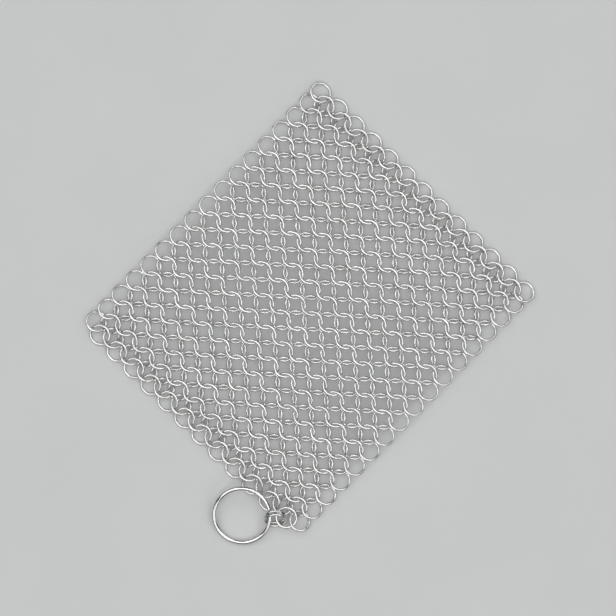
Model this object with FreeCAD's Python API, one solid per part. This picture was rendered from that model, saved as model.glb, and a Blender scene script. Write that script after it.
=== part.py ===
import FreeCAD, Part
import math
import os
from collections import namedtuple

# Chainmail pot scrubber: a limp rectangular sheet of welded wire rings in the four-in-one weave, where every
# inner ring passes through two rings of the row before it and two of the row after it. Two connector rings,
# side by side, tie one corner of the sheet to a plain round hanging ring. The sheet lies pulled out, its two
# ends flat on the ground and its middle a little raised.

# Sizes in millimetres, angles in degrees
wire = 1.2               # wire of the mesh rings and connector rings
ring_inside = 8.8        # inside diameter of a mesh ring or connector ring
side_gap = 0.6           # free space between neighbouring rings of one row
link_gap = 0.21          # free space between linked wires in the middle of the sheet
ring_lean = 22.0         # every row leans by this angle, each against the one before it
row_count = 34
long_row_rings = 13      # rings in every second row, the others, the last one too, have one fewer
edge_bunching = 0.33     # how much closer the outermost two rows lie than the middle ones, as a fraction
bunching_reach = 2.2     # rows over which the bunching dies away
sheet_rise = 2.5         # the limp sheet's middle lies this much higher than its ends

corner_gap = 0.17        # free space between the wires that are linked at the corner
corner_lean = 4.7        # the connectors prop the corner ring up nearly level
connector_heading = 45.5  # way from the hanging ring to the corner ring, measured from +X
connector_tilt = 52.0    # the connectors lie tipped over to one side of that way
connector_shift = 0.6    # the first connector lies this far to the left of that way
connector_gap = 0.2      # free space between the two connectors

hanging_wire = 2.1
hanging_outside = 30.0
hanging_heading = 48.3   # way from the middle of the hanging ring to its link
hanging_rise = 4.8       # slope of the hanging ring up to its link
hanging_roll = 12.6      # slope of the hanging ring across that

mean_radius = (ring_inside + wire) / 2
pitch = ring_inside + 2 * wire + side_gap
hanging_radius = (hanging_outside - hanging_wire) / 2
sheet_height = mean_radius * math.sin(math.radians(ring_lean)) + wire / 2
search_steps = 30        # halvings or thirdings of a range in which a place is sought
turn_steps = 120         # points round a ring at which its distance from another is first tried

Ring = namedtuple("Ring", "centre normal radius wire")


def level(degrees):
    """A level unit vector at an angle from +X."""
    return FreeCAD.Vector(math.cos(math.radians(degrees)), math.sin(math.radians(degrees)), 0)


def sloped(vector, degrees):
    """A level unit vector tipped up by an angle."""
    return vector * math.cos(math.radians(degrees)) + FreeCAD.Vector(0, 0, math.sin(math.radians(degrees)))


def mesh_ring(x, y, lean, height=sheet_height):
    """A mesh ring whose +Y side is raised by the lean."""
    normal = FreeCAD.Vector(1, 0, 0).cross(sloped(FreeCAD.Vector(0, 1, 0), lean))
    return Ring(FreeCAD.Vector(x, y, height), normal, mean_radius, wire)


def moved(ring, shift):
    return ring._replace(centre=ring.centre + shift)


def lowest(function, low, high):
    """Where a function that falls and then rises between low and high is least."""
    for _ in range(search_steps):
        third = (high - low) / 3
        if function(low + third) > function(high - third):
            low += third
        else:
            high -= third
    return (low + high) / 2


def apart(ring, other):
    """Least distance between the centre lines of two rings."""
    across = ring.normal.cross(FreeCAD.Vector(1, 0, 0)).normalize() * ring.radius
    along = ring.normal.cross(across)

    def distance(turn):
        offset = ring.centre + across * math.cos(turn) + along * math.sin(turn) - other.centre
        height = offset.dot(other.normal)
        outward = (offset - other.normal * height).Length
        return math.hypot(outward - other.radius, height)

    step = 2 * math.pi / turn_steps
    nearest = min((index * step for index in range(turn_steps)), key=distance)
    return distance(lowest(distance, nearest - step, nearest + step))


def room(rings, others):
    """Least free space between the wires of two groups of rings."""
    return min(apart(ring, other) - (ring.wire + other.wire) / 2 for ring in rings for other in others)


def pulled_tight(place, anchors, gap, slack, tight):
    """The furthest travel between slack and tight at which place(travel) keeps the gap to its anchors."""
    for _ in range(search_steps):
        middle = (slack + tight) / 2
        if room(place(middle), anchors) >= gap:
            slack = middle
        else:
            tight = middle
    return slack


def most_room(place, anchors, low, high):
    """The travel between low and high at which place(travel) lies freest of its anchors."""
    return lowest(lambda travel: -room(place(travel), anchors), low, high)


def row_spacing():
    """Distance between two middle rows, where the links are pulled out to the link gap."""
    ring = mesh_ring(0, 0, -ring_lean)
    return pulled_tight(
        lambda travel: [mesh_ring(pitch / 2, -travel, ring_lean)],
        [ring], link_gap, mean_radius, 2 * mean_radius)


def row_places():
    """Y of every row, from the first to the last, with the rows bunched up towards both ends."""
    spacing = row_spacing()
    places = [0.0]
    for gap in range(row_count - 1):
        from_end = min(gap, row_count - 2 - gap)
        bunching = edge_bunching * math.exp(-from_end / bunching_reach)
        places.append(places[-1] - spacing * (1 - bunching))
    return places


def mesh_row(row, y, length):
    """One row of rings: short rows have one ring fewer, sit half a pitch over and lean the other way."""
    short = (row_count - 1 - row) % 2 == 0
    count = long_row_rings - 1 if short else long_row_rings
    turn = 2 * math.pi * y / length
    height = sheet_height + sheet_rise * (1 - math.cos(turn)) / 2
    slope = math.degrees(math.atan(sheet_rise * math.pi / length * math.sin(turn)))
    lean = slope + ring_lean if short else slope - ring_lean
    first = -pitch * (count - 1) / 2
    return [mesh_ring(first + column * pitch, y, lean, height) for column in range(count)]


def propped_corner(ring, row_behind):
    """The corner ring of the last row, lying nearly level and midway between the wires that it is linked with."""
    linked = row_behind[-2:]

    def lifted(lift):
        return [mesh_ring(ring.centre.x, ring.centre.y, corner_lean, ring.centre.z + lift)]

    return lifted(most_room(lifted, linked, 0, wire))[0]


def connector_pair(corner):
    """Two rings through the corner ring, tipped over side by side on the ground and pulled out from it."""
    ahead = level(connector_heading)
    left = level(connector_heading + 90)
    normal = ahead.cross(sloped(left, connector_tilt))
    height = mean_radius * math.sin(math.radians(connector_tilt)) + wire / 2
    spacing = (wire + connector_gap) / math.sin(math.radians(connector_tilt))
    start = FreeCAD.Vector(corner.centre.x, corner.centre.y, height) + left * connector_shift

    def pair(reach):
        first = Ring(start - ahead * reach, normal, mean_radius, wire)
        return [first, moved(first, left * -spacing)]

    return pair(pulled_tight(pair, [corner], corner_gap, mean_radius / 2, 2 * mean_radius))


def hanging_ring(connectors):
    """The hanging ring, resting on the ground at its far side and pulled out from both connectors."""
    ahead = level(connector_heading)
    left = level(connector_heading + 90)
    up_link = sloped(level(hanging_heading), hanging_rise)
    across = sloped(level(hanging_heading + 90), hanging_roll)
    across = (across - up_link * across.dot(up_link)).normalize()
    normal = up_link.cross(across)
    height = hanging_radius * math.hypot(up_link.z, across.z) + hanging_wire / 2
    middle = (connectors[0].centre + connectors[1].centre) / 2

    def placed(reach, side):
        link = middle - ahead * reach + left * side
        centre = link - up_link * hanging_radius
        return [Ring(FreeCAD.Vector(centre.x, centre.y, height), normal, hanging_radius, hanging_wire)]

    def freest_side(reach):
        return most_room(lambda side: placed(reach, side), connectors, 0, mean_radius)

    reach = pulled_tight(
        lambda travel: placed(travel, freest_side(travel)), connectors, corner_gap, 0, mean_radius)
    return placed(reach, freest_side(reach))[0]


def reach_along(ring, axis):
    """Half the extent of a ring along an axis."""
    return ring.radius * math.sqrt(1 - ring.normal.dot(axis) ** 2) + ring.wire / 2


def ground_centre(rings):
    """Middle of the underside of the box around all the rings."""
    axes = [FreeCAD.Vector(1, 0, 0), FreeCAD.Vector(0, 1, 0), FreeCAD.Vector(0, 0, 1)]
    low = [min(ring.centre.dot(axis) - reach_along(ring, axis) for ring in rings) for axis in axes]
    high = [max(ring.centre.dot(axis) + reach_along(ring, axis) for ring in rings) for axis in axes]
    return FreeCAD.Vector((low[0] + high[0]) / 2, (low[1] + high[1]) / 2, low[2])


def lay_out():
    """Every ring of the scrubber by node name, with the origin under the middle of the whole."""
    places = row_places()
    rows = [mesh_row(row, y, -places[-1]) for row, y in enumerate(places)]
    rows[-1][-1] = propped_corner(rows[-1][-1], rows[-2])
    connectors = connector_pair(rows[-1][-1])
    nodes = {"row_%02d" % (row + 1): rings for row, rings in enumerate(rows)}
    nodes["connector_ring_1"] = connectors[:1]
    nodes["connector_ring_2"] = connectors[1:]
    nodes["hanging_ring"] = [hanging_ring(connectors)]
    origin = ground_centre([ring for rings in nodes.values() for ring in rings])
    return {name: [moved(ring, -origin) for ring in rings] for name, rings in nodes.items()}


def welded_ring(ring):
    return Part.makeTorus(ring.radius, ring.wire / 2, ring.centre, ring.normal)


def main():
    os.makedirs("parts", exist_ok=True)
    for name, rings in lay_out().items():
        solids = [welded_ring(ring) for ring in rings]
        shape = solids[0] if len(solids) == 1 else Part.makeCompound(solids)
        shape.exportStep("parts/%s.step" % name)


main()
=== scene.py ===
import math

import bpy
import numpy as np
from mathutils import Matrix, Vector


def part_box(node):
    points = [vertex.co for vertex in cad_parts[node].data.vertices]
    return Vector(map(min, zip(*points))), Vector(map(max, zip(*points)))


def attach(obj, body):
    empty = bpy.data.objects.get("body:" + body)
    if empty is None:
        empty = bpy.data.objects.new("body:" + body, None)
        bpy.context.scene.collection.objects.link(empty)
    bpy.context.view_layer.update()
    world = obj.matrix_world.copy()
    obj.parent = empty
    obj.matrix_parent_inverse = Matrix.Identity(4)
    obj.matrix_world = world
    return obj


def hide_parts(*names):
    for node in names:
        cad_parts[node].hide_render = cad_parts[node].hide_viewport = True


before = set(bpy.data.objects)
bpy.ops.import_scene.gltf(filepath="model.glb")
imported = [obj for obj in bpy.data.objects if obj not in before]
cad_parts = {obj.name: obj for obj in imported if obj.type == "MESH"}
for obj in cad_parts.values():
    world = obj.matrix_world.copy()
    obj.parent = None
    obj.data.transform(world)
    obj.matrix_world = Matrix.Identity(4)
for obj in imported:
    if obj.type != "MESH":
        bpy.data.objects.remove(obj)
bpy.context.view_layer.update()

# Chainmail pot scrubber: rows of welded wire rings, two connector rings and a polished hanging ring.
# Everything is in metres; sizes written in millimetres are turned to metres by MM.
MM = 0.001
full_turn = 2 * math.pi
chance = np.random.default_rng(7)

# Mesh of a ring: stations round the ring, drawn closer together at its weld, and sides round the wire
mesh_stations = 72
mesh_sides = 16
hanging_stations = 220
hanging_sides = 40
weld_crowding = 0.6
same_place = 7                 # decimals, in metres, to which corners of the CAD mesh count as one

# Making of a ring: bent wire, butt welded, so it is a little out of round and thicker at the weld
out_of_round = 0.02 * MM
weld_length = 0.55 * MM        # from the middle of the weld to where the bead fades
weld_bead = 0.05               # share by which the wire is thicker there
loose_tilt = 0.5               # degrees that a ring hangs askew in its links
loose_shift = 0.02 * MM
heading_lift = 0.3             # keeps the direction to the weld well defined on a leaning ring


def rings_of(node_name):
    """Centre, axis, mean radius and wire radius of each ring of a node, along the row."""
    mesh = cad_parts[node_name].data
    corners = np.empty(3 * len(mesh.vertices))
    mesh.vertices.foreach_get("co", corners)
    corners = corners.reshape(-1, 3).round(same_place)
    points, kept = np.unique(corners, axis=0, return_inverse=True)
    edges = np.empty(2 * len(mesh.edges), int)
    mesh.edges.foreach_get("vertices", edges)
    first, second = kept.ravel()[edges.reshape(-1, 2)].T
    ring_label = np.arange(len(points))
    spreading = True
    while spreading:
        before = ring_label.copy()
        lower = np.minimum(ring_label[first], ring_label[second])
        np.minimum.at(ring_label, first, lower)
        np.minimum.at(ring_label, second, lower)
        spreading = (before != ring_label).any()
    rings = []
    for label in np.unique(ring_label):
        cloud = points[ring_label == label]
        centre = cloud.mean(0)
        axis = np.linalg.eigh(np.cov((cloud - centre).T))[1][:, 0]
        axis *= math.copysign(1, axis[2])
        outward = np.linalg.norm(np.cross(cloud - centre, axis), axis=1)
        radius = (outward.max() + outward.min()) / 2
        wire_radius = (outward.max() - outward.min()) / 2
        rings.append((centre, axis, radius, wire_radius))
    return rings


def bent_ring(ring, stations, sides):
    """Points of one ring, the place of each round the wire and round the ring, and its share of weld."""
    centre, axis, radius, wire_radius = ring
    axis = axis + chance.uniform(-1, 1, 3) * math.radians(loose_tilt)
    axis /= np.linalg.norm(axis)
    centre = centre + chance.uniform(-1, 1, 3) * loose_shift
    weld_heading = chance.uniform(0, full_turn)
    across = np.cross(axis, (math.cos(weld_heading), math.sin(weld_heading), heading_lift))
    across /= np.linalg.norm(across)
    along = np.cross(axis, across)

    step = np.linspace(0, full_turn, stations, endpoint=False)
    turn = (step - weld_crowding * np.sin(step))[:, None]
    side = np.linspace(0, full_turn, sides, endpoint=False)[None, :]
    blank = np.zeros((stations, sides))
    from_weld = radius * np.minimum(turn, full_turn - turn)
    weld = blank + np.exp(-(from_weld / weld_length) ** 2)
    oval = radius + out_of_round * np.cos(2 * turn + chance.uniform(0, full_turn))
    thick = wire_radius * (1 + weld_bead * weld)

    reach = oval + thick * np.cos(side)
    points = (
        centre
        + (reach * np.cos(turn))[..., None] * across
        + (reach * np.sin(turn))[..., None] * along
        + (thick * np.sin(side))[..., None] * axis
    )
    section = np.stack(
        [blank + wire_radius * np.cos(side), blank + wire_radius * np.sin(side), blank], -1)
    arc = np.stack(
        [blank + radius * np.cos(turn), blank + radius * np.sin(turn), blank + chance.random()], -1)
    return points.reshape(-1, 3), section.reshape(-1, 3), arc.reshape(-1, 3), weld.ravel()


def wire_faces(stations, sides):
    """Quads of one closed ring."""
    station, side = np.meshgrid(np.arange(stations), np.arange(sides), indexing="ij")
    next_station = (station + 1) % stations
    next_side = (side + 1) % sides
    corners = [(station, side), (next_station, side), (next_station, next_side), (station, next_side)]
    return np.stack([a * sides + b for a, b in corners], -1).reshape(-1, 4)


def welded_rings(piece_name, node_name, material, stations=mesh_stations, sides=mesh_sides):
    """One piece with all the rings of a node, kept inside the node's own box."""
    made = [bent_ring(ring, stations, sides) for ring in rings_of(node_name)]
    points, section, arc, weld = [np.concatenate(parts) for parts in zip(*made)]
    low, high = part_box(node_name)
    points = np.clip(points, low, high)
    faces = wire_faces(stations, sides)
    faces = np.concatenate([faces + index * stations * sides for index in range(len(made))])
    mesh = bpy.data.meshes.new(piece_name)
    mesh.from_pydata(points.tolist(), [], faces.tolist())
    for name, kind, key, values in (
        ("section", "FLOAT_VECTOR", "vector", section),
        ("arc", "FLOAT_VECTOR", "vector", arc),
        ("weld", "FLOAT", "value", weld),
    ):
        attribute = mesh.attributes.new(name, kind, "POINT")
        attribute.data.foreach_set(key, values.astype(np.float32).ravel())
    mesh.shade_smooth()
    mesh.materials.append(material)
    piece = bpy.data.objects.new(piece_name, mesh)
    bpy.context.scene.collection.objects.link(piece)
    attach(piece, node_name)
    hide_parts(node_name)


def linear(colour):
    """An sRGB hex colour as linear red, green, blue and alpha."""
    shares = [int(colour[start:start + 2], 16) / 255 for start in (1, 3, 5)]
    return [share / 12.92 if share <= 0.04045 else ((share + 0.055) / 1.055) ** 2.4 for share in shares] + [1]


def add(tree, kind, inputs=(), **settings):
    """A node with its settings, and its inputs set or linked."""
    made = tree.nodes.new(kind)
    for name, value in settings.items():
        setattr(made, name, value)
    for name, value in dict(inputs).items():
        if isinstance(value, bpy.types.NodeSocket):
            tree.links.new(value, made.inputs[name])
        else:
            made.inputs[name].default_value = value
    return made


# Places of the two colours and of the result among a Mix node's sockets
mix_first = 6
mix_second = 7
mix_result = 2

# Wire surface
pattern_apart = 50             # pattern cells over which the rings' patterns are strewn, so that no two match
noise_low = 0.3                # a noise seldom leaves these values
noise_high = 0.7
tone_patch = (1.2, 5)          # millimetres across and along the wire
heat_share = 0.4               # of the weld's tint, at its middle
weld_roughness = 0.06          # added at the weld's middle
mark_depth = 0.02 * MM


def wire_grain(tree, across, along, detail):
    """Marks of a size across and along the wire, in millimetres, that run on unbroken round every ring."""
    section = add(tree, "ShaderNodeAttribute", attribute_name="section").outputs["Vector"]
    arc = add(tree, "ShaderNodeAttribute", attribute_name="arc").outputs["Vector"]
    fine = 1 / (across * MM)
    long = 1 / (along * MM)
    section = add(tree, "ShaderNodeVectorMath", {0: section, 1: (fine, fine, 0)}, operation="MULTIPLY")
    arc = add(tree, "ShaderNodeVectorMath", {0: arc, 1: (long, long, pattern_apart)}, operation="MULTIPLY")
    section = add(tree, "ShaderNodeSeparateXYZ", {0: section.outputs[0]})
    arc = add(tree, "ShaderNodeSeparateXYZ", {0: arc.outputs[0]})
    run = add(tree, "ShaderNodeMath", {0: arc.outputs["X"], 1: arc.outputs["Z"]}, operation="ADD")
    place = add(
        tree, "ShaderNodeCombineXYZ",
        {"X": section.outputs["X"], "Y": section.outputs["Y"], "Z": run.outputs[0]},
    )
    return add(
        tree, "ShaderNodeTexNoise",
        {"Vector": place.outputs[0], "W": arc.outputs["Y"], "Scale": 1, "Detail": detail},
        noise_dimensions="4D",
    ).outputs["Fac"]


def spread(tree, share, low, high):
    """A share from the middle range of a noise, spread over a range of values."""
    return add(
        tree, "ShaderNodeMapRange",
        {"Value": share, "From Min": noise_low, "From Max": noise_high, "To Min": low, "To Max": high},
    ).outputs["Result"]


def steel(name, bright, dull, tint, smooth, rough, marks, dents, relief):
    """Stainless wire: two tones in patches, a heat tint at the weld, and marks and dents in its gloss."""
    material = bpy.data.materials.new(name)
    material.use_nodes = True
    tree = material.node_tree
    shader = tree.nodes["Principled BSDF"]
    shader.inputs["Metallic"].default_value = 1
    patches = spread(tree, wire_grain(tree, *tone_patch, detail=2), 0, 1)
    lines = wire_grain(tree, *marks, detail=2)
    pits = wire_grain(tree, dents, dents, detail=1)
    weld = add(tree, "ShaderNodeAttribute", attribute_name="weld").outputs["Fac"]
    tone = add(
        tree, "ShaderNodeMix",
        {"Factor": patches, mix_first: linear(bright), mix_second: linear(dull)},
        data_type="RGBA",
    )
    heat = add(tree, "ShaderNodeMath", {0: weld, 1: heat_share}, operation="MULTIPLY")
    tone = add(
        tree, "ShaderNodeMix",
        {"Factor": heat.outputs[0], mix_first: tone.outputs[mix_result], mix_second: linear(tint)},
        data_type="RGBA",
    )
    tree.links.new(tone.outputs[mix_result], shader.inputs["Base Color"])
    gloss = add(
        tree, "ShaderNodeMath",
        {0: weld, 1: weld_roughness, 2: spread(tree, lines, smooth, rough)},
        operation="MULTIPLY_ADD",
    )
    tree.links.new(gloss.outputs[0], shader.inputs["Roughness"])
    height = add(tree, "ShaderNodeMath", {0: lines, 1: pits}, operation="ADD")
    bump = add(
        tree, "ShaderNodeBump", {"Height": height.outputs[0], "Strength": relief, "Distance": mark_depth})
    tree.links.new(bump.outputs[0], shader.inputs["Normal"])
    return material


# Stainless steel wire, drawn, bent, welded and tumbled: bright strands with darker edges, broken up by faint
# lines along the wire and shallow dents from tumbling. The real marks are a few hundredths of a millimetre
# wide and would vanish, so they are drawn coarser.
tumbled_wire = steel(
    "tumbled_drawn_stainless_wire", "#E6E6E5", "#CECECD", "#98938C",
    smooth=0.1, rough=0.24, marks=(0.18, 3), dents=0.5, relief=0.35)

# Stainless steel wire, drawn, welded and polished: almost a mirror, with sharp light and dark bands along the
# wire and a few hairlines. The hairlines are drawn coarser than real ones, which would vanish.
polished_wire = steel(
    "polished_drawn_stainless_wire", "#E0E0DF", "#CDCDCC", "#A09B94",
    smooth=0.06, rough=0.13, marks=(0.22, 8), dents=1.2, relief=0.12)

for node_name in sorted(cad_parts):
    if node_name == "hanging_ring":
        welded_rings(
            "polished_hanging_ring", node_name, polished_wire,
            hanging_stations, hanging_sides)
    else:
        welded_rings("welded_" + node_name, node_name, tumbled_wire)

# Floor: matt paper, plain pale grey with a faint cloudiness
floor_side = 24.0
paper_cloud = 60 * MM
paper_roughness = 0.95
paper = bpy.data.materials.new("matt_seamless_paper")
paper.use_nodes = True
paper_tree = paper.node_tree
place = add(paper_tree, "ShaderNodeTexCoord").outputs["Object"]
cloud = add(paper_tree, "ShaderNodeTexNoise", {"Vector": place, "Scale": 1 / paper_cloud, "Detail": 3})
shade = add(
    paper_tree, "ShaderNodeMix",
    {"Factor": cloud.outputs["Fac"], mix_first: linear("#C2C3C3"), mix_second: linear("#C8C9C9")},
    data_type="RGBA",
)
paper_shader = paper_tree.nodes["Principled BSDF"]
paper_tree.links.new(shade.outputs[mix_result], paper_shader.inputs["Base Color"])
paper_shader.inputs["Roughness"].default_value = paper_roughness
floor_mesh = bpy.data.meshes.new("floor")
half = floor_side / 2
floor_mesh.from_pydata(
    [(-half, -half, 0), (half, -half, 0), (half, half, 0), (-half, half, 0)], [], [(0, 1, 2, 3)])
floor_mesh.materials.append(paper)
floor = bpy.data.objects.new("floor", floor_mesh)
bpy.context.scene.collection.objects.link(floor)

# Camera: straight above, the sheet turned on its corner
picture_turn = math.radians(44.42)      # picture's right, measured from +X
picture_side = 306.3 * MM               # what the square picture spans on the sheet
picture_middle = Vector((-0.345, 12.594, 2.5)) * MM
camera_height = 1.6
sensor = 36.0
camera_data = bpy.data.cameras.new("camera")
camera_data.sensor_width = sensor
camera_data.lens = sensor * camera_height / picture_side
camera = bpy.data.objects.new("camera", camera_data)
camera.location = picture_middle + Vector((0, 0, camera_height))
camera.rotation_euler = (0, 0, picture_turn)
bpy.context.scene.collection.objects.link(camera)
bpy.context.scene.camera = camera

# Softboxes: one overhead for the middle of every wire, and four on the diagonals that light its flanks
softbox_distance = 4.0


def softbox(name, bearing, elevation, width, height, watts):
    """A soft light facing the scrubber, at a bearing from the picture's right and an elevation, in degrees."""
    way = math.radians(bearing) + picture_turn
    rise = math.radians(elevation)
    toward = Vector((math.cos(way) * math.cos(rise), math.sin(way) * math.cos(rise), math.sin(rise)))
    lamp = bpy.data.lights.new(name, "AREA")
    lamp.shape = "RECTANGLE"
    lamp.size = width
    lamp.size_y = height
    lamp.energy = watts
    light = bpy.data.objects.new(name, lamp)
    light.location = toward * softbox_distance
    light.rotation_euler = toward.to_track_quat("Z", "Y").to_euler()
    bpy.context.scene.collection.objects.link(light)


softbox("overhead_softbox", bearing=0, elevation=90, width=4.4, height=4.4, watts=112)
for corner, bearing in (("far_right", 45), ("far_left", 135), ("near_left", 225), ("near_right", 315)):
    softbox(corner + "_softbox", bearing, elevation=42, width=2.9, height=1.4, watts=26)

# Studio room: grey overhead, darker towards the horizon, which draws dark edges on the round wire
horizon = 0.1                  # heights, as shares of straight up, between which the grey changes
zenith = 0.9
horizon_grey = 0.02
zenith_grey = 0.12
world = bpy.data.worlds.new("studio")
bpy.context.scene.world = world
world.use_nodes = True
room = world.node_tree
direction = add(room, "ShaderNodeTexCoord").outputs["Generated"]
upward = add(room, "ShaderNodeSeparateXYZ", {0: direction}).outputs["Z"]
wall = add(
    room, "ShaderNodeMapRange",
    {"Value": upward, "From Min": horizon, "From Max": zenith, "To Min": horizon_grey, "To Max": zenith_grey},
)
room.links.new(wall.outputs["Result"], room.nodes["Background"].inputs["Color"])

bpy.context.scene.view_settings.view_transform = "Standard"
